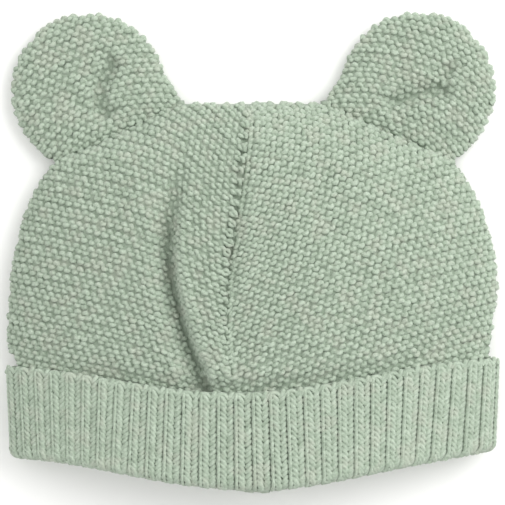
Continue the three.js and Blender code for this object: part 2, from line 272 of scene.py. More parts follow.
yarn = {
    "light": "#b9c7b5",
    "middle": "#a8b7a4",
    "dark": "#92a28e",
    "fleck": "#b8baac",
    "ply": 0.8 * mm,  # size of the plies and fibres
    "heather": 2.2 * mm,
    "blotch": 7 * mm,
    "stitchDrift": 0.22,  # how much a stitch's own tone moves its colour along the ramp
    "darkAt": 0.3, "middleAt": 0.6, "lightAt": 0.95,
    "fleckFrom": 0.48, "fleckTo": 0.66, "fleckMost": 0.32,
    # painted shade and highlight: the colour is darker where the plies' bump is low and lighter where it is
    # high
    "plyFrom": 0.3, "plyTo": 0.7, "plyPaintedShade": 0.8, "plyPaintedHighlight": 1.14,
    "bump": 0.45 * mm,
    "roughness": 0.92, "sheen": 0.25, "sheenRoughness": 0.6, "specular": 0.2,
    "paintedCoreShade": 0.88,  # painted shade: the fabric between the stitches is painted darker, for the shade in the recesses between them
}


def linear(hexColour):
    parts = [int(hexColour[i:i + 2], 16) / 255 for i in (1, 3, 5)]
    return [c / 12.92 if c <= 0.04045 else ((c + 0.055) / 1.055) ** 2.4 for c in parts] + [1.0]


def addNode(tree, kind, settings=None, **links):
    # links and values by socket name, with _ for a space and a number at the end for a socket's place
    node = tree.nodes.new(kind)
    for key, value in (settings or {}).items():
        setattr(node, key, value)
    for key, value in links.items():
        name = key.replace("_", " ")
        socket = node.inputs[int(name[3:])] if name.startswith("in ") else node.inputs[name]
        if isinstance(value, bpy.types.NodeSocket):
            tree.links.new(value, socket)
        else:
            socket.default_value = value
    return node


def woolYarn(name, shade=1.0):
    # worsted-spun wool, a matt heathered yarn: soft halo, colour that drifts stitch by stitch
    # shade below 1 darkens the whole colour: painted shade, used for the core materials between the stitches
    material = bpy.data.materials.new(name)
    material.use_nodes = True
    tree = material.node_tree
    shader = tree.nodes["Principled BSDF"]
    place = addNode(tree, "ShaderNodeTexCoord").outputs["Object"]

    def noise(size, detail, roughness):
        node = addNode(tree, "ShaderNodeTexNoise", Vector=place, Scale=1 / size, Detail=detail,
                       Roughness=roughness)
        return node.outputs["Fac"]

    drift = noise(yarn["blotch"], 2.0, 0.6)
    heather = noise(yarn["heather"], 3.0, 0.7)
    plies = noise(yarn["ply"], 4.0, 0.7)
    tone = addNode(tree, "ShaderNodeAttribute", {"attribute_name": "tone"})
    sums = addNode(tree, "ShaderNodeMath", {"operation": "MULTIPLY_ADD"},
                   in_0=tone.outputs["Fac"], in_1=yarn["stitchDrift"], in_2=heather)
    ramp = addNode(tree, "ShaderNodeValToRGB", Fac=sums.outputs[0])
    stops = ramp.color_ramp.elements
    stops[0].position, stops[0].color = yarn["darkAt"], linear(yarn["dark"])
    stops[1].position, stops[1].color = yarn["lightAt"], linear(yarn["light"])
    stops.new(yarn["middleAt"]).color = linear(yarn["middle"])
    fleckMask = addNode(tree, "ShaderNodeMapRange", {"interpolation_type": "SMOOTHSTEP"}, Value=drift,
                        From_Min=yarn["fleckFrom"], From_Max=yarn["fleckTo"], To_Max=yarn["fleckMost"])
    flecked = addNode(tree, "ShaderNodeMix", {"data_type": "RGBA"},
                      in_0=fleckMask.outputs[0], in_6=ramp.outputs["Color"], in_7=linear(yarn["fleck"]))
    # the ply noise is also the bump's height: the colour is painted darker where it is low and lighter where
    # it is high, painted shade in the grooves between the plies and a painted highlight on their crests
    between = addNode(tree, "ShaderNodeMapRange", Value=plies,
                      From_Min=yarn["plyFrom"], From_Max=yarn["plyTo"],
                      To_Min=yarn["plyPaintedShade"] * shade, To_Max=yarn["plyPaintedHighlight"] * shade)
    shaded = addNode(tree, "ShaderNodeMix", {"data_type": "RGBA", "blend_type": "MULTIPLY"},
                     in_0=1.0, in_6=flecked.outputs[2], in_7=between.outputs[0])
    bump = addNode(tree, "ShaderNodeBump", Height=plies, Strength=1.0, Distance=yarn["bump"])
    tree.links.new(shaded.outputs[2], shader.inputs["Base Color"])
    tree.links.new(bump.outputs["Normal"], shader.inputs["Normal"])
    shader.inputs["Roughness"].default_value = yarn["roughness"]
    shader.inputs["Sheen Weight"].default_value = yarn["sheen"]
    shader.inputs["Sheen Roughness"].default_value = yarn["sheenRoughness"]
    shader.inputs["Specular IOR Level"].default_value = yarn["specular"]
    return material


garterWool = woolYarn("garter_stitch_wool")
# the core materials are painted darker by paintedCoreShade: painted shade in the recesses between the stitches
garterCore = woolYarn("garter_stitch_wool_core_painted_shade", yarn["paintedCoreShade"])
ribWool = woolYarn("rib_knit_wool")
ribCore = woolYarn("rib_knit_wool_core_painted_shade", yarn["paintedCoreShade"])
print("materials made")


def makeMesh(name, points, faces, material):
    mesh = bpy.data.meshes.new(name)
    mesh.from_pydata([tuple(p) for p in points], [], faces)
    mesh.validate()
    mesh.polygons.foreach_set("use_smooth", [True] * len(mesh.polygons))
    mesh.materials.append(material)
    obj = bpy.data.objects.new(name, mesh)
    bpy.context.collection.objects.link(obj)
    return obj


def gridFaces(rows, count):
    # faces between closed rows of count points
    faces = []
    for row in range(rows - 1):
        for i in range(count):
            j = (i + 1) % count
            faces.append((row * count + i, row * count + j, (row + 1) * count + j, (row + 1) * count + i))
    return faces


def finishMesh(obj):
    # modifiers applied
    depsgraph = bpy.context.evaluated_depsgraph_get()
    mesh = bpy.data.meshes.new_from_object(obj.evaluated_get(depsgraph))
    obj.modifiers.clear()
    obj.data = mesh
    return obj


def pushIn(obj, depth):
    # moves every vertex inwards along its normal
    mesh = obj.data
    count = len(mesh.vertices)
    points = np.empty(count * 3)
    normals = np.empty(count * 3)
    mesh.vertices.foreach_get("co", points)
    mesh.vertices.foreach_get("normal", normals)
    mesh.vertices.foreach_set("co", points - normals * depth)
    mesh.update()


def mergeDoubles(obj, distance):
    weld = obj.modifiers.new("weld", "WELD")
    weld.merge_threshold = distance
    return finishMesh(obj)


# loops of yarn, one short arc on each point, by Geometry Nodes

loopVectors = ("facing", "heading", "size")


def loopTree(name):
    tree = bpy.data.node_groups.new(name, "GeometryNodeTree")
    sockets = {}

    def addInput(label, kind, value=None):
        socket = tree.interface.new_socket(name=label, in_out="INPUT", socket_type=kind)
        if value is not None:
            socket.default_value = value
        sockets[label] = socket.identifier

    addInput("Geometry", "NodeSocketGeometry")
    for label in ("Reach", "Rise", "Dip", "Yarn Radius"):
        addInput(label, "NodeSocketFloat", 1.0)
    addInput("Steps", "NodeSocketInt", 6)
    addInput("Sides", "NodeSocketInt", 5)
    addInput("Seed", "NodeSocketInt", 1)
    addInput("Material", "NodeSocketMaterial")
    tree.interface.new_socket(name="Geometry", in_out="OUTPUT", socket_type="NodeSocketGeometry")
    given = addNode(tree, "NodeGroupInput").outputs

    def opposite(value):
        return addNode(tree, "ShaderNodeMath", {"operation": "MULTIPLY"}, in_0=value, in_1=-1.0).outputs[0]

    left, down, deep = opposite(given["Reach"]), opposite(given["Rise"]), opposite(given["Dip"])
    start = addNode(tree, "ShaderNodeCombineXYZ", X=left, Y=down, Z=deep)
    middle = addNode(tree, "ShaderNodeCombineXYZ", Y=given["Rise"], Z=given["Dip"])
    end = addNode(tree, "ShaderNodeCombineXYZ", X=given["Reach"], Y=down, Z=deep)
    path = addNode(tree, "GeometryNodeCurveQuadraticBezier", Resolution=given["Steps"],
                   Start=start.outputs[0], Middle=middle.outputs[0], End=end.outputs[0])
    ring = addNode(tree, "GeometryNodeCurvePrimitiveCircle", Resolution=given["Sides"],
                   Radius=given["Yarn Radius"])
    tube = addNode(tree, "GeometryNodeCurveToMesh", Curve=path.outputs[0], Profile_Curve=ring.outputs[0],
                   Fill_Caps=True)
    facing, heading, size = [
        addNode(tree, "GeometryNodeInputNamedAttribute", {"data_type": "FLOAT_VECTOR"}, Name=key).outputs[0]
        for key in loopVectors]
    turn = addNode(tree, "FunctionNodeAxesToRotation", {"primary_axis": "Z", "secondary_axis": "X"},
                   Primary_Axis=facing, Secondary_Axis=heading)
    placed = addNode(tree, "GeometryNodeInstanceOnPoints", Points=given["Geometry"], Instance=tube.outputs[0],
                     Rotation=turn.outputs[0], Scale=size)
    chance = addNode(tree, "FunctionNodeRandomValue", {"data_type": "FLOAT"}, Seed=given["Seed"])
    toned = addNode(tree, "GeometryNodeStoreNamedAttribute", {"data_type": "FLOAT", "domain": "INSTANCE"},
                    Geometry=placed.outputs[0], Name="tone", Value=chance.outputs[1])
    real = addNode(tree, "GeometryNodeRealizeInstances", Geometry=toned.outputs[0])
    soft = addNode(tree, "GeometryNodeSetShadeSmooth", Geometry=real.outputs[0])
    done = addNode(tree, "GeometryNodeSetMaterial", Geometry=soft.outputs[0], Material=given["Material"])
    out = addNode(tree, "NodeGroupOutput")
    tree.links.new(done.outputs[0], out.inputs[0])
    return tree, sockets


loops, loopSockets = loopTree("yarn loops")
random = np.random.default_rng(7)


def loopPiece(name, points, inputs, material):
    # points: the place of each loop, its facing, its heading and its size along heading, uphill and facing
    mesh = bpy.data.meshes.new(name)
    mesh.from_pydata([tuple(p) for p in points["place"]], [], [])
    for key in loopVectors:
        attribute = mesh.attributes.new(key, "FLOAT_VECTOR", "POINT")
        attribute.data.foreach_set("vector", np.ascontiguousarray(points[key], dtype=np.float32).ravel())
    obj = bpy.data.objects.new(name, mesh)
    bpy.context.collection.objects.link(obj)
    modifier = obj.modifiers.new("loops", "NODES")
    modifier.node_group = loops
    for label, value in inputs.items():
        modifier[loopSockets[label]] = value
    modifier[loopSockets["Material"]] = material
    finishMesh(obj)
    for key in loopVectors:
        if key in obj.data.attributes:
            obj.data.attributes.remove(obj.data.attributes[key])
    print(name, len(points["place"]), "loops,", len(obj.data.polygons) * 2, "triangles")
    return obj


# garter stitch: ridges of two rows of loops, half a stitch apart

garter = {
    "ridgePitch": 3.95 * mm,
    "stitchWidth": 3.27 * mm,
    "rowOffset": 1.06 * mm,  # each row of loops from the middle of its ridge
    "sink": 0.75 * mm,  # yarn's middle below the fabric's outer face
    "loose": 0.19 * mm,  # how unevenly the loops lie, as the next two
    "looseTilt": 0.15,
    "looseSize": 0.07,
    "tall": 1.08,
    "leastStretch": 0.8, "mostStretch": 1.6,  # where the ridges lie closer or wider than their pitch
    "shortest": 0.2, "margin": 0.1, "late": 0.5, "earlier": 0.75,  # shares of a stitch, at a ridge's ends
    "besideCrease": 0.65 * mm,  # where the ridges start on either side of the middle crease
    "loop": {"Reach": 1.07 * mm, "Rise": 0.85 * mm, "Dip": 1.2 * mm, "Yarn Radius": 0.97 * mm,
             "Steps": 6, "Sides": 5},
    "backSteps": 5,  # the crown's back, which it lies on, has plainer loops
    "coreSink": 1.15 * mm,  # plain fabric under the stitches, below the fabric's outer face
    "reading": 0.3 * mm,  # half the distance over which slopes are read off a surface
}


def ridgeStitches(place, phase, spacing):
    # loops along one ridge. place: points on the ridge with their directions uphill and outwards
    steps = np.linalg.norm(np.diff(place["at"], axis=0), axis=1)
    length = np.concatenate([[0], np.cumsum(steps)])
    width = garter["stitchWidth"]
    if length[-1] < garter["shortest"] * width:
        return None
    margin = garter["margin"] * width
    found = {"place": [], "facing": [], "heading": [], "size": []}
    for row, offset, turned in ((0.0, garter["rowOffset"], 1), (0.5, -garter["rowOffset"], -1)):
        first = (phase / width + row) % 1
        stations = np.arange(first - 1, length[-1] / width, 1) * width
        stations = stations[(stations > -margin) & (stations < length[-1] - margin)]
        if len(stations) and stations[0] > garter["late"] * width:  # no bare end where a row starts late
            stations = np.concatenate([stations[:1] - garter["earlier"] * width, stations])
        if not len(stations):
            stations = length[-1:] / 2

        def read(values):
            return np.stack([np.interp(stations, length, values[:, k]) for k in range(3)], axis=1)

        uphill, facing = unit(read(place["uphill"])), unit(read(place["facing"]))
        heading = unit(np.cross(uphill, facing))
        stretch = np.interp(stations, length, spacing) / garter["ridgePitch"]
        stretch = np.clip(stretch, garter["leastStretch"], garter["mostStretch"])[:, None]
        wobble = random.normal(0, garter["loose"], (len(stations), 3)) * [1, 0.8, 0.6]
        centre = read(place["at"]) + uphill * offset * stretch - facing * garter["sink"]
        centre += heading * wobble[:, :1] + uphill * wobble[:, 1:2] + facing * wobble[:, 2:]
        tilt = random.normal(0, garter["looseTilt"], (len(stations), 1))
        found["place"].append(centre)
        found["facing"].append(facing)
        found["heading"].append(turned * unit(heading + uphill * tilt))
        plump = 1 + random.normal(0, garter["looseSize"], (len(stations), 1))
        found["size"].append(np.hstack([plump, plump * stretch * garter["tall"], plump]))
    return {key: np.vstack(value) for key, value in found.items()}


def gather(parts):
    parts = [part for part in parts if part]
    return {key: np.vstack([part[key] for part in parts]) for key in ("place", *loopVectors)}


# crown

ridgeSlopes = [  # how steeply the ridges climb away from the middle, in degrees, low and high on the front
    {"away": 0, "leftLow": 31, "leftHigh": 50, "rightLow": 28, "rightHigh": 47},
    {"away": 0.13, "leftLow": 29, "leftHigh": 47, "rightLow": 29, "rightHigh": 47},
    {"away": 0.26, "leftLow": 20, "leftHigh": 36, "rightLow": 27, "rightHigh": 45},
    {"away": 0.39, "leftLow": 13, "leftHigh": 20, "rightLow": 23, "rightHigh": 35},
    {"away": 0.53, "leftLow": 11, "leftHigh": 14, "rightLow": 20, "rightHigh": 25},
    {"away": 0.66, "leftLow": 11, "leftHigh": 13, "rightLow": 18, "rightHigh": 19},
    {"away": 0.79, "leftLow": 11, "leftHigh": 13, "rightLow": 15, "rightHigh": 15},
    {"away": 1, "leftLow": 10, "leftHigh": 13, "rightLow": 13, "rightHigh": 14},
]
ridgeField = {
    "lowAt": -28 * mm, "highAt": 38 * mm,  # heights that the low and the high slopes stand for
    "nearPitch": 3.7 * mm, "farPitch": 3.8 * mm, "highPitch": 0.1 * mm,  # wider at the sides and the top
    "hidden": 55 * mm,  # how far below the cuff's upper edge the ridges are laid out
    "width": 1.18,  # past the hat's side, as a share of its half width
    "pastTop": 18 * mm,
    "cell": 1 * mm, "step": 0.33 * mm,
}
ridgeEnds = {  # as far as the ridges run, in rise and in reach, and the fewest points of one
    "low": -0.9 * hat["tuckedEdge"] / hat["height"], "high": 0.997, "side": 0.9995, "fewest": 4,
}


def ridgeLines(side):
    # heights of every ridge at each distance from the middle line: the level lines of a count of ridges whose
    # slope and spacing come as near as they can to the wanted ones all over the side
    low = curveThrough(ridgeSlopes, "away", side + "Low")
    high = curveThrough(ridgeSlopes, "away", side + "High")
    cell = ridgeField["cell"]
    across = np.arange(0, ridgeField["width"] * hat["half"], cell)
    ups = np.arange(hat["cuffTop"] - ridgeField["hidden"], hat["top"] + ridgeField["pastTop"], cell)
    away, y = np.meshgrid(across, ups, indexing="ij")

    def shareUp(y):
        return smooth((y - ridgeField["lowAt"]) / (ridgeField["highAt"] - ridgeField["lowAt"]))

    up = shareUp(y)
    slope = np.radians(mix(low(away / hat["half"]), high(away / hat["half"]), up))
    pitch = mix(ridgeField["nearPitch"], ridgeField["farPitch"], away / hat["half"])
    pitch = pitch + ridgeField["highPitch"] * up
    wantedAway, wantedUp = -np.sin(slope) / pitch * cell, np.cos(slope) / pitch * cell
    flow = np.zeros_like(away)  # what the count's second differences have to add up to
    betweenAway = (wantedAway[1:] + wantedAway[:-1]) / 2
    betweenUp = (wantedUp[:, 1:] + wantedUp[:, :-1]) / 2
    flow[:-1] += betweenAway
    flow[1:] -= betweenAway
    flow[:, :-1] += betweenUp
    flow[:, 1:] -= betweenUp
    # mirrored both ways, so that a Fourier transform solves it with free edges
    mirrored = np.block([[flow, flow[:, ::-1]], [flow[::-1], flow[::-1, ::-1]]])
    waves = [2 * np.cos(2 * math.pi * np.arange(n) / n) - 2 for n in mirrored.shape]
    weights = waves[0][:, None] + waves[1][None, :]
    weights[0, 0] = 1
    count = np.fft.ifft2(np.fft.fft2(mirrored) / weights).real[:len(across), :len(ups)]
    levels = np.arange(math.ceil(count.min()), math.floor(count.max()))
    coarse = np.array([np.interp(levels, count[i], ups) for i in range(len(across))]).T
    fine = np.arange(0, across[-1], ridgeField["step"])
    heights = np.array([np.interp(fine, across, row) for row in coarse])
    starts = heights[:, 0]
    turns = np.radians(mix(low(0.0), high(0.0), shareUp(starts)))
    shifts = -np.cumsum(np.concatenate([[0], np.diff(starts) * np.sin(turns[1:])]))
    return fine, heights, shifts


def middleLine(y):
    return creaseAt(np.clip(riseAt(np.zeros_like(y), y), 0, 1)) * hat["half"]


def crownStitches(side, surface):
    away, heights, shifts = ridgeLines(side)
    sign = -1 if side == "left" else 1
    step = garter["reading"]
    parts = []
    for k in range(len(heights) - 1):
        y = heights[k]
        x = middleLine(y) + sign * (away + garter["besideCrease"])
        rise = riseAt(x, y)
        inside = (rise > ridgeEnds["low"]) & (rise < ridgeEnds["high"])
        inside &= crownReach(x, y) < ridgeEnds["side"]
        if inside.sum() < ridgeEnds["fewest"]:
            continue
        first = np.argmax(inside)
        last = len(inside) if inside[first:].all() else first + np.argmin(inside[first:])
        x, y, upper = x[first:last], y[first:last], heights[k + 1][first:last]
        at = surface(x, y)
        heading = unit(np.gradient(at, axis=0))
        climb = surface(x, y + step) - surface(x, y - step)
        outward = 1 if (surface is crownFront) == (sign > 0) else -1
        facing = unit(np.cross(heading, climb)) * outward
        climb = climb / (2 * step) * (upper - y)[:, None]
        uphill = climb - heading * np.sum(climb * heading, axis=1, keepdims=True)
        place = {"at": at, "uphill": unit(uphill), "facing": facing}
        part = ridgeStitches(place, shifts[k], np.linalg.norm(uphill, axis=1))
        if part:
            parts.append(part)
    return gather(parts)


crownCore = {  # the crown's plain fabric
    "leftBank": 0.45,  # a softer step than the stitches', so that no bar stands up along the crease
    "thinner": 1.3 * mm,  # how much less than the wall its thickness is
    "leftOfCrease": 4 * mm, "rightOfCrease": 7 * mm,  # where its columns are close together
    "leastLeft": 0.4,  # share of the way from the fold to the crease
    "columns": {"left": 20, "fold": 26, "flank": 6, "crease": 24, "right": 30},
    "rises": np.concatenate([[-0.07, -0.035], np.linspace(0, 0.9, 46),
                             1 - 0.1 * np.linspace(1, 0, 12)[1:] ** 1.6]),
}


def crownShell():
    # wall under the stitches, one pouch open at the cuff, as loops over the front and back under it
    columns = crownCore["columns"]
    toLeft = 1 - np.cos(np.linspace(0, 1, columns["left"], endpoint=False) * math.pi / 2)
    toRight = 1 - np.sin(np.linspace(0, 1, columns["right"]) * math.pi / 2)
    loopsOfPoints = []
    for rise in crownCore["rises"]:
        left, right = (float(v) for v in crownEdges(np.array(rise)))
        inside = min(max(rise, 0), 1)
        span = hat["foldSpan"] * left / hat["half"]
        foldX = float(foldAt(inside)) * hat["half"]
        creaseX = float(creaseAt(inside)) * hat["half"]
        beside = max(creaseX - crownCore["leftOfCrease"], mix(foldX + span, creaseX, crownCore["leastLeft"]))
        beyond = creaseX + crownCore["rightOfCrease"]
        x = np.concatenate([
            mix(-left, foldX - span, toLeft),
            np.linspace(foldX - span, foldX + span, columns["fold"], endpoint=False),
            np.linspace(foldX + span, beside, columns["flank"], endpoint=False),
            np.linspace(beside, beyond, columns["crease"], endpoint=False),
            right - (right - beyond) * toRight,
        ])
        y = heightAt(x, rise)
        over = crownFront(x, y, crownCore["leftBank"])
        under = crownBack(x, y)[1:-1][::-1]
        loopsOfPoints.append(np.vstack([over, under]))
    faces = gridFaces(len(loopsOfPoints), len(loopsOfPoints[0]))
    # its material is painted darker: painted shade between the stitches
    obj = makeMesh("crown_fabric", np.vstack(loopsOfPoints), faces, garterCore)
    mergeDoubles(obj, 0.05 * mm)
    pushIn(obj, garter["coreSink"])
    wall = obj.modifiers.new("wall", "SOLIDIFY")
    wall.thickness = hat["wall"] - crownCore["thinner"]
    wall.offset = -1
    return finishMesh(obj)


crownFabric = crownShell()
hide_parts("crown")
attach(crownFabric, "root")
for side in ("left", "right"):
    for face, surface, steps in (("front", crownFront, garter["loop"]["Steps"]),
                                 ("back", crownBack, garter["backSteps"])):
        inputs = {**garter["loop"], "Steps": steps, "Seed": 3}
        piece = loopPiece(f"crown_{face}_{side}_stitches", crownStitches(side, surface), inputs, garterWool)
        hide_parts("crown")
        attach(piece, "root")

crease = {  # the column of stitches along the middle line
    "beside": 1.5 * mm,
    "pitch": 1.9 * mm,
    "sink": 1.0 * mm,
    "lean": 0.55, "looseLean": 0.1,
    "belowCuff": 3 * mm, "belowTop": 5 * mm,
    "size": [1.0, 0.75, 0.8], "looseSize": 0.06,
    "loop": {**garter["loop"], "Reach": 1.5 * mm, "Rise": 0.2 * mm, "Seed": 4},
}


def creaseStitches():
    # a column of leaning stitches at the foot of the step on the right of the middle line
    y = np.arange(hat["cuffTop"] - crease["belowCuff"], hat["top"] - crease["belowTop"], crease["pitch"])
    x = middleLine(y) + crease["beside"]
    at = crownFront(x, y)
    down = unit(crownFront(x, y - garter["reading"]) - at)
    across = unit(crownFront(x + garter["reading"], y) - at)
    facing = unit(np.cross(across, -down))
    tilt = crease["lean"] + random.normal(0, crease["looseLean"], (len(y), 1))
    size = np.ones((len(y), 3)) * crease["size"] * (1 + random.normal(0, crease["looseSize"], (len(y), 1)))
    return {"place": at - facing * crease["sink"], "facing": facing, "heading": unit(down - across * tilt),
            "size": size}


spine = loopPiece("crown_middle_stitches", creaseStitches(), crease["loop"], garterWool)
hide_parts("crown")
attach(spine, "root")
print("crown made")


# cuff

ribLean = [  # how far a rib's foot stands to the right of its head, in mm, over the width of the front
    {"at": -1, "lean": 1.5}, {"at": -0.5, "lean": -2.4}, {"at": -0.1, "lean": 0}, {"at": 0.15, "lean": 1.6},
    {"at": 0.5, "lean": 0.2}, {"at": 0.8, "lean": -2}, {"at": 1, "lean": -1.5},
]
leanAt = curveThrough(ribLean, "at", "lean")
cuffLowerEdge = [  # how much shorter the cuff is, in mm
    {"at": -1, "less": 2.6}, {"at": -0.6, "less": 2.8}, {"at": -0.2, "less": 1.4}, {"at": 0.1, "less": 0},
    {"at": 0.7, "less": 0}, {"at": 1, "less": 2},
]
lessAt = curveThrough(cuffLowerEdge, "at", "less")


def seatPoint(turn, offset):
    # on the line round the hat midway between the cuff's layers, or offset outwards from it
    reach = np.cos(turn)
    x = reach * (cuff["seatHalf"] + offset)
    up = (hat["loft"] - cuff["foldReach"] - cuff["sideHeight"] + offset) * frontArch(reach)
    down = (cuff["sideHeight"] - cuff["foldReach"] + offset) * backArch(reach)
    return x, np.where(np.sin(turn) >= 0, cuff["sideHeight"] + up, cuff["sideHeight"] - down)


def ribTurns():
    # turn at every share of a rib, evenly along the seat line
    fine = np.linspace(0, 2 * math.pi, 24001)
    x, z = seatPoint(fine, 0.0)
    length = np.concatenate([[0], np.cumsum(np.hypot(np.diff(x), np.diff(z)))])
    return lambda rib: np.interp((np.asarray(rib) / cuff["ribCount"]) % 1 * length[-1], length, fine)


turnOf = ribTurns()


def cuffSection(s, depth):
    # height and offset at a distance down the outer face, round the fold and up inside, depth below the face
    reach = cuff["foldReach"]
    straight = cuff["height"] - reach
    arcLength = math.pi * reach
    angle = np.clip((s - straight) / reach, 0, math.pi)
    beyond = np.maximum(0, s - straight - arcLength)
    height = -np.minimum(s, straight) - (reach - depth) * np.sin(angle) + beyond
    head = np.clip(1 - s / cuff["headSpan"], 0, 1)
    offset = (reach - depth) * np.cos(angle) - reach * cuff["headShare"] * head ** 2
    return height, offset


def cuffPoint(rib, s, depth=0.0):
    turn = turnOf(rib)
    height, offset = cuffSection(s, depth)
    x, z = seatPoint(turn, offset)
    down = -height / cuff["height"]
    sunk = np.clip(down, 0, 1)
    lip = smooth(1 - np.abs(x - cuff["lipMiddle"]) / cuff["lipSpan"]) * cuff["lipDrop"]
    y = hat["cuffTop"] + bow(x) + height - np.where(np.sin(turn) < 0, lip, 0) * sunk ** 4
    y += lessAt(x / hat["half"]) * mm * sunk
    lean = leanAt(x / hat["half"]) * mm * sunk * np.where(np.sin(turn) >= 0, 1, 0)
    x = x * (1 - cuff["taper"] / cuff["seatHalf"] * down) + lean * (1 - np.abs(x / hat["half"]) ** 6)
    return np.stack([x, y, z], axis=-1)


ribStitch = {
    "columns": [  # "at" is sideways from the rib's middle, as a share of a rib, "start" is from the upper edge
        {"at": 0.18, "sink": 0.62 * mm, "tilt": -0.12, "size": (1.0, 0.92, 1.0), "start": 2.4 * mm},
        {"at": -0.1, "sink": 0.62 * mm, "tilt": 0.62, "size": (1.15, 1.2, 1.0), "start": 3.0 * mm},
        {"at": -0.48, "sink": 1.0 * mm, "tilt": -0.75, "size": (1.1, 1.25, 1.1), "start": 1.8 * mm},
    ],
    "inner": 9 * mm,  # how far the stitches go on inside the mouth
    "loose": 0.1 * mm, "looseTilt": 0.07, "looseSize": 0.05,
    "loop": {"Reach": 1.45 * mm, "Rise": 0.22 * mm, "Dip": 0.5 * mm, "Yarn Radius": 0.8 * mm,
             "Steps": 5, "Sides": 5},
}
ribReading = {"rib": 0.05, "s": 0.2 * mm}  # half the distances over which directions are read off the cuff
roundFold = cuff["height"] + math.pi * cuff["foldReach"]  # way down the outer face and round the fold


def cuffDirections(rib, s, depth):
    # to the right as seen from outside, down the outer face, and outwards
    across = unit(cuffPoint(rib - ribReading["rib"], s, depth) - cuffPoint(rib + ribReading["rib"], s, depth))
    down = unit(cuffPoint(rib, s + ribReading["s"], depth) - cuffPoint(rib, s - ribReading["s"], depth))
    return across, down, unit(np.cross(down, across))


def ribColumn(ribs, column):
    s = np.arange(column["start"], roundFold + ribStitch["inner"], cuff["coursePitch"])
    rib, s = (values.ravel() for values in np.meshgrid(ribs + column["at"], s, indexing="ij"))
    s = s + random.normal(0, ribStitch["loose"], len(s))
    across, down, facing = cuffDirections(rib, s, column["sink"])
    tilts = column["tilt"] + random.normal(0, ribStitch["looseTilt"], (len(s), 1))
    plump = 1 + random.normal(0, ribStitch["looseSize"], (len(s), 1))
    place = cuffPoint(rib, s, column["sink"])
    size = plump * np.array([column["size"]])
    return {"place": place, "facing": facing, "heading": unit(down + across * tilts), "size": size}


def ribStitches(ribs):
    return gather([ribColumn(ribs, column) for column in ribStitch["columns"]])


cuffCore = {  # the cuff's plain fabric
    "sidesPerRib": 10,
    "onRib": 1.1 * mm, "deeperBetween": 0.8 * mm,  # depths below the stitches' outer face
    "runs": [  # rows of points from the upper edge down, round the fold and up inside: first, last, how many
        (0.4 * mm, 34 * mm, 18),
        (35 * mm, roundFold + 4 * mm, 22),
        (roundFold + 7 * mm, roundFold + 24 * mm, 5),
    ],
    "thinner": 0.1 * mm,  # than the wall
}


def cuffShell():
    sides = cuff["ribCount"] * cuffCore["sidesPerRib"]
    ribs = np.arange(sides) / cuffCore["sidesPerRib"]
    stations = np.concatenate([np.linspace(*run) for run in cuffCore["runs"]])
    purlAt = ribStitch["columns"][-1]["at"]
    onRib = 0.5 - 0.5 * np.cos((ribs - 0.5 + purlAt + 1) * 2 * math.pi + math.pi)
    depths = cuffCore["onRib"] + cuffCore["deeperBetween"] * (1 - onRib)
    inner = cuff["ribWall"] - cuffCore["thinner"]
    rows = [cuffPoint(ribs, np.full(sides, s), depths) for s in stations]
    rows += [cuffPoint(ribs, np.full(sides, s), inner) for s in stations[::-1]]
    rows.append(rows[0])
    # its material is painted darker: painted shade between the stitches
    obj = makeMesh("cuff_fabric", np.vstack(rows), gridFaces(len(rows), sides), ribCore)
    mergeDoubles(obj, 0.01 * mm)
    return obj


cuffFabric = cuffShell()
pieces = [cuffFabric]
half = cuff["ribCount"] // 2
for face, ribs in (("front", np.arange(0, half)), ("back", np.arange(half, 2 * half))):
    inputs = {**ribStitch["loop"], "Seed": 5}
    pieces.append(loopPiece(f"cuff_{face}_stitches", ribStitches(ribs), inputs, ribWool))

castOn = {  # loops along the cuff's upper edge
    "at": 0.01,  # from the rib's middle, as a share of a rib
    "down": 1.0 * mm, "readAt": 1.5 * mm, "sink": 0.75 * mm,
    "looseSize": 0.05,
    "loop": {"Reach": 2.6 * mm, "Rise": 1.7 * mm, "Dip": 0.4 * mm, "Yarn Radius": 0.8 * mm,
             "Steps": 10, "Sides": 6, "Seed": 6},
}


def castOnEdge():
    # the rounded loop over the head of each rib
    ribs = np.arange(cuff["ribCount"]) + castOn["at"]
    across, _, facing = cuffDirections(ribs, np.full(len(ribs), castOn["readAt"]), castOn["sink"])
    size = np.ones((len(ribs), 3)) + random.normal(0, castOn["looseSize"], (len(ribs), 1))
    place = cuffPoint(ribs, np.full(len(ribs), castOn["down"]), castOn["sink"])
    return {"place": place, "facing": facing, "heading": across, "size": size}


pieces.append(loopPiece("cuff_edge_loops", castOnEdge(), castOn["loop"], ribWool))
for piece in pieces:
    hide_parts("cuff")
    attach(piece, "root")
print("cuff made")


# ears

ear = {
    "radius": 30 * mm,
    "thickness": 9.5 * mm,
    "rise": 18.7 * mm,
    "shift": 2.9 * mm,
    "roundness": 5,
    "flareTurn": 0.45,  # turn in radians over which the rim runs out to the inner end of the seam
    "overlap": 3 * mm,  # how far it reaches into the crown's side
    "seamFullness": 0.93,  # below 1 it keeps some of its thickness where it is sewn on
    "ridgeCentre": 40 * mm,  # the ridges bow round a point this far below the seam
    "tuckWidth": 3.2 * mm,
    "sewnFrom": 1.9, "sewnSpan": 0.5,  # turn from the tip, in radians, at which the seam's fullness sets in
    "farthestTurn": 1.2,  # of a ridge to either side, round the ridges' centre
    "ridgeEnd": 0.995, "fewest": 8,
}
earTucks = {  # lines of each tuck in radii, along the seam and away from it
    "left": [
        {"depth": 0.4, "line": [(0.09, -0.36), (0.05, -0.25), (0.15, -0.02), (0.4, 0.16)]},
        {"depth": 0.12, "line": [(-0.02, -0.21), (-0.22, -0.03)]},
    ],
    "right": [
        {"depth": 0.46, "line": [(0.19, -0.28), (-0.27, 0.12)]},
        {"depth": 0.2, "line": [(-0.27, 0.12), (-0.25, 0.36)]},
    ],
}


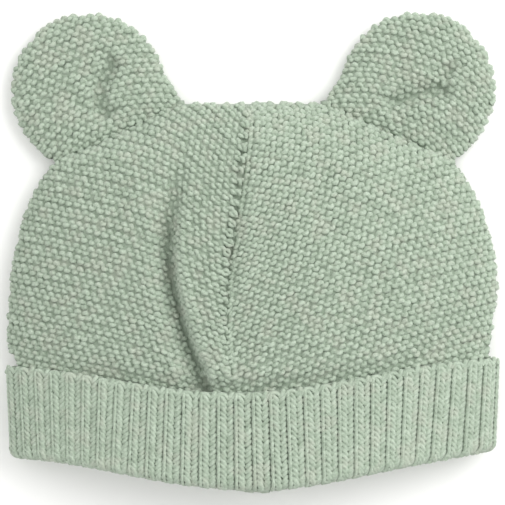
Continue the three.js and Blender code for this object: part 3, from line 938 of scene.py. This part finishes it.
def tuckAt(side, u, v):
    drawn = np.zeros_like(u)
    for tuck in earTucks[side]:
        nearest = np.full_like(u, 1.0)
        corners = [np.array(corner) * ear["radius"] for corner in tuck["line"]]
        for a, b in zip(corners, corners[1:]):
            run = b - a
            t = np.clip(((u - a[0]) * run[0] + (v - a[1]) * run[1]) / run.dot(run), 0, 1)
            nearest = np.minimum(nearest, np.hypot(u - a[0] - t * run[0], v - a[1] - t * run[1]))
        drawn = np.maximum(drawn, tuck["depth"] * np.exp(-(nearest / ear["tuckWidth"]) ** 2))
    return drawn


def earShape(side):
    # an ear's outline and its own axes: u along the seam towards the top of the head, v away from it
    outward = -1 if side == "left" else 1
    share = leftShare if side == "left" else rightShare

    def seamEnd(rise):
        x = outward * float(share(rise)) * hat["half"]
        return np.array([x, float(heightAt(np.array(x), np.array(rise)))])

    outer, inner = seamEnd(shoulderShare), seamEnd(1.0)
    length = np.linalg.norm(inner - outer)
    along = (inner - outer) / length
    away = np.array([along[1], -along[0]]) * outward
    middle = outer + along * (length / 2 - ear["shift"]) + away * ear["rise"]
    toSeam = ear["rise"] + ear["overlap"]
    toInner = length / 2 + ear["shift"]
    innerTurn = math.atan2(toInner, -toSeam)
    outerTurn = math.atan2(-math.sqrt(ear["radius"] ** 2 - toSeam ** 2), -toSeam)
    flare = math.hypot(toInner, toSeam) - ear["radius"]

    def edge(turn):
        turn = np.asarray(turn, float)
        onSeam = (turn > innerTurn) | (turn < outerTurn)
        disc = ear["radius"] + flare * smooth((turn - innerTurn + ear["flareTurn"]) / ear["flareTurn"])
        return np.where(onSeam, toSeam / np.maximum(-np.cos(turn), 0.3), disc)

    shares = np.linspace(0, 1, 400) ** 0.5
    swell = ear["thickness"] / 2 * arch(shares, ear["roundness"])
    lengths = np.concatenate([[0], np.cumsum(np.hypot(np.diff(shares) * ear["radius"], np.diff(swell)))])
    fullness = lengths[-1] / ear["radius"]  # how much longer the way over the face is than the flat radius

    def place(a, b, isFront):
        # a, b: flat places on the fabric before the rim's curve takes some up
        turn = np.arctan2(a, b)
        reach = edge(turn)
        wanted = np.clip(np.hypot(a, b) / (reach * fullness), 0, 1)
        part = np.interp(wanted, lengths / lengths[-1], shares)
        u, v = part * reach * np.sin(turn), part * reach * np.cos(turn)
        sewn = smooth((np.abs(turn) - ear["sewnFrom"]) / ear["sewnSpan"])
        swell = arch(part * mix(1, ear["seamFullness"], sewn), ear["roundness"]) / 2
        drawn = tuckAt(side, u, v) if isFront else 0.0
        z = ear["thickness"] * (0.5 + swell * (1 - 2 * drawn) if isFront else 0.5 - swell)
        return np.stack([middle[0] + along[0] * u + away[0] * v, middle[1] + along[1] * u + away[1] * v,
                         z * np.ones_like(u)], axis=-1)

    def insideEdge(a, b):
        return np.hypot(a, b) / (edge(np.arctan2(a, b)) * fullness)

    return {"place": place, "insideEdge": insideEdge, "edge": edge, "fullness": fullness, "outward": outward}


def earStitches(side):
    shape = earShape(side)
    centre = -(ear["rise"] + ear["ridgeCentre"])
    step = garter["reading"]
    parts = []
    for isFront in (True, False):
        radius = ear["ridgeCentre"] - 0.5 * garter["ridgePitch"]
        while radius < -centre + ear["radius"] * shape["fullness"]:
            angles = np.arange(-ear["farthestTurn"], ear["farthestTurn"], step / radius)
            a, b = radius * np.sin(angles), centre + radius * np.cos(angles)
            inside = shape["insideEdge"](a, b) < ear["ridgeEnd"]
            if inside.sum() > ear["fewest"]:
                first = np.argmax(inside)
                last = len(inside) - np.argmax(inside[::-1])
                a, b, angles = a[first:last], b[first:last], angles[first:last]
                at = shape["place"](a, b, isFront)
                heading = unit(np.gradient(at, axis=0))
                outA, outB = step * np.sin(angles), step * np.cos(angles)
                climb = shape["place"](a + outA, b + outB, isFront)
                climb -= shape["place"](a - outA, b - outB, isFront)
                facing = unit(np.cross(heading, climb)) * (1 if isFront else -1) * -shape["outward"]
                uphill = climb - heading * np.sum(climb * heading, axis=1, keepdims=True)
                spacing = np.linalg.norm(uphill, axis=1) / (2 * step) * garter["ridgePitch"]
                ridge = {"at": at, "uphill": unit(uphill), "facing": facing}
                parts.append(ridgeStitches(ridge, -radius * angles[0] % garter["stitchWidth"], spacing))
            radius += garter["ridgePitch"]
    return gather(parts)


def earPouch(side):
    # plain fabric under the stitches, front and back in one closed form
    shape = earShape(side)
    turns = np.linspace(-math.pi, math.pi, 96, endpoint=False)
    shares = np.concatenate([np.linspace(0, 0.9, 24), np.linspace(0.92, 1, 8)])
    rows = []
    for isFront, order in ((False, shares), (True, shares[::-1][1:])):
        for share in order:
            reach = shape["edge"](turns) * shape["fullness"] * share * 0.9999
            rows.append(shape["place"](reach * np.sin(turns), reach * np.cos(turns), isFront))
    # its material is painted darker: painted shade between the stitches
    obj = makeMesh(f"ear_{side}_fabric", np.vstack(rows), gridFaces(len(rows), len(turns)), garterCore)
    mergeDoubles(obj, 0.02 * mm)
    if side == "left":
        obj.data.flip_normals()
    pushIn(obj, garter["coreSink"])
    return obj


for side in ("left", "right"):
    stitches = loopPiece(f"ear_{side}_stitches", earStitches(side), {**garter["loop"], "Seed": 9}, garterWool)
    for piece in (earPouch(side), stitches):
        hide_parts(f"ear_{side}")
        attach(piece, "root")
print("ears made")


# floor, light and camera

def plainMaterial(name, hexColour, roughness):
    material = bpy.data.materials.new(name)
    material.use_nodes = True
    shader = material.node_tree.nodes["Principled BSDF"]
    shader.inputs["Base Color"].default_value = linear(hexColour)
    shader.inputs["Roughness"].default_value = roughness
    return material


floor = makeMesh("floor", [(-2, -2, 0), (2, -2, 0), (2, 2, 0), (-2, 2, 0)], [(0, 1, 2, 3)],
                 plainMaterial("matt_paper", "#f6f6f4", 0.9))

sky = 0.82
lights = [
    {"name": "key", "at": (0.75, 0.5, 0.75), "size": 1.0, "power": 11.3},
    {"name": "fill", "at": (-0.6, 0.1, 1.0), "size": 1.2, "power": 3.6},
]
for light in lights:
    lamp = bpy.data.lights.new(light["name"], "AREA")
    lamp.size = light["size"]
    lamp.energy = light["power"]
    lampObject = bpy.data.objects.new(light["name"], lamp)
    lampObject.location = light["at"]
    lampObject.rotation_euler = (-Vector(light["at"])).to_track_quat("-Z", "Y").to_euler()
    bpy.context.collection.objects.link(lampObject)
world = bpy.data.worlds.new("studio")
world.use_nodes = True
world.node_tree.nodes["Background"].inputs["Color"].default_value = (1, 1, 1, 1)
world.node_tree.nodes["Background"].inputs["Strength"].default_value = sky
bpy.context.scene.world = world

view = {"imageWidth": 505, "mmPerPixel": 0.385, "lens": 180, "sensor": 36, "focusHeight": 6 * mm}
frameWidth = view["imageWidth"] * view["mmPerPixel"] * mm
bpy.context.scene.view_settings.view_transform = "Standard"
camera = bpy.data.cameras.new("camera")
camera.lens = view["lens"]
camera.sensor_width = view["sensor"]
cameraObject = bpy.data.objects.new("camera", camera)
cameraObject.location = (0, 0, view["focusHeight"] + frameWidth * view["lens"] / view["sensor"])
bpy.context.collection.objects.link(cameraObject)
bpy.context.scene.camera = cameraObject
